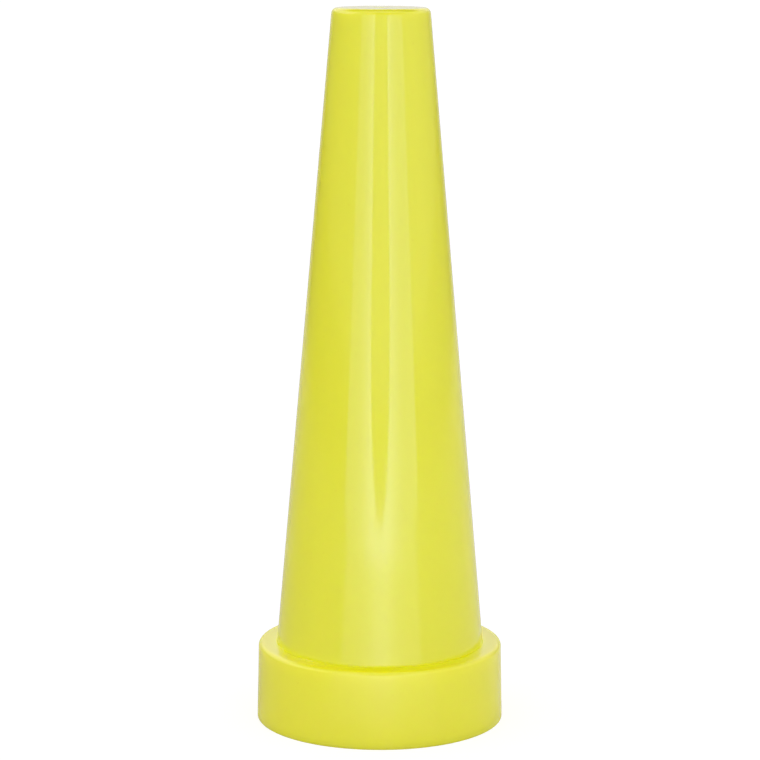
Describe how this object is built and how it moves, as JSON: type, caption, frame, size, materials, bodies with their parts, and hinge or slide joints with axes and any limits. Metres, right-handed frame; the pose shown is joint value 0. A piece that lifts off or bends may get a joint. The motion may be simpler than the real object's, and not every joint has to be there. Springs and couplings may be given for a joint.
{
  "type": "slip-on torch signal cone",
  "caption": "Closed, light-diffusing yellow taper in a stepped collar whose rubber-lined socket slips over a torch head to make a traffic wand.",
  "frame": {"origin": "centre of the collar's rim, in the plane that the object stands on", "axes": "+Z along the axis of the cone, from the socket's mouth to the tip"},
  "size_m": [0.0574, 0.0574, 0.165],
  "materials": {
    "cone_shell": "glossy, light-diffusing yellow",
    "collar": "satin yellow",
    "stop_ring": "plain moulded yellow",
    "grip_sleeve": "soft matt rubber"
  },
  "bodies": {
    "root": {"cone_shell": "cone_shell", "collar": "collar", "stop_ring": "stop_ring", "grip_sleeve": "grip_sleeve"}
  },
  "joints": []
}
